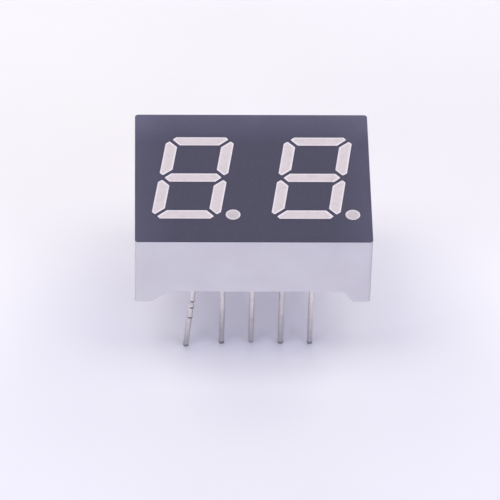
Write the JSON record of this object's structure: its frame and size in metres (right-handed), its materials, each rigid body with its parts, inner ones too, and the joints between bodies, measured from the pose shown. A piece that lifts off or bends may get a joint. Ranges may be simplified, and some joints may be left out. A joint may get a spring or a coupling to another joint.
{
  "type": "seven segment display",
  "caption": "Numeric LED display module: a dark face with leaning segment digits and decimal points in a white moulded body, standing on two rows of pins.",
  "frame": {"origin": "on the floor under the middle of the body, at the level of the pin tips that it stands on", "axes": "+X along the row of digits from left to right, +Y towards the tops of the digits, +Z out of the face"},
  "size_m": [0.02, 0.0158, 0.0136],
  "materials": {
    "white_moulding": "satin moulded, titanium white filled",
    "face_ink": "matt printed coat",
    "segment_resin": "milky cast epoxy, smooth",
    "potting_resin": "cast epoxy, smooth",
    "board_laminate": "glass-filled laminate",
    "copper": "etched copper",
    "solder": "bright solder",
    "tinned_pin": "bright tinned wire",
    "light_chip": "sawn semiconductor",
    "bond_wire": "drawn gold wire"
  },
  "bodies": {
    "root": {"reflector_housing": "white_moulding", "face_coat": "face_ink", "circuit_board": "board_laminate", "front_copper": "copper", "back_copper": "copper", "solder_joints": "solder", "potting": "potting_resin", "digit_1_segment_a": "segment_resin", "digit_1_segment_b": "segment_resin", "digit_1_segment_c": "segment_resin", "digit_1_segment_d": "segment_resin", "digit_1_segment_e": "segment_resin", "digit_1_segment_f": "segment_resin", "digit_1_segment_g": "segment_resin", "digit_1_point": "segment_resin", "digit_1_chip_a": "light_chip", "digit_1_chip_b": "light_chip", "digit_1_chip_c": "light_chip", "digit_1_chip_d": "light_chip", "digit_1_chip_e": "light_chip", "digit_1_chip_f": "light_chip", "digit_1_chip_g": "light_chip", "digit_1_chip_point": "light_chip", "digit_1_bond_wires": "bond_wire", "digit_2_segment_a": "segment_resin", "digit_2_segment_b": "segment_resin", "digit_2_segment_c": "segment_resin", "digit_2_segment_d": "segment_resin", "digit_2_segment_e": "segment_resin", "digit_2_segment_f": "segment_resin", "digit_2_segment_g": "segment_resin", "digit_2_point": "segment_resin", "digit_2_chip_a": "light_chip", "digit_2_chip_b": "light_chip", "digit_2_chip_c": "light_chip", "digit_2_chip_d": "light_chip", "digit_2_chip_e": "light_chip", "digit_2_chip_f": "light_chip", "digit_2_chip_g": "light_chip", "digit_2_chip_point": "light_chip", "digit_2_bond_wires": "bond_wire", "pin_1": "tinned_pin", "pin_2": "tinned_pin", "pin_3": "tinned_pin", "pin_4": "tinned_pin", "pin_5": "tinned_pin", "pin_6": "tinned_pin", "pin_7": "tinned_pin", "pin_8": "tinned_pin", "pin_9": "tinned_pin", "pin_10": "tinned_pin"}
  },
  "joints": []
}
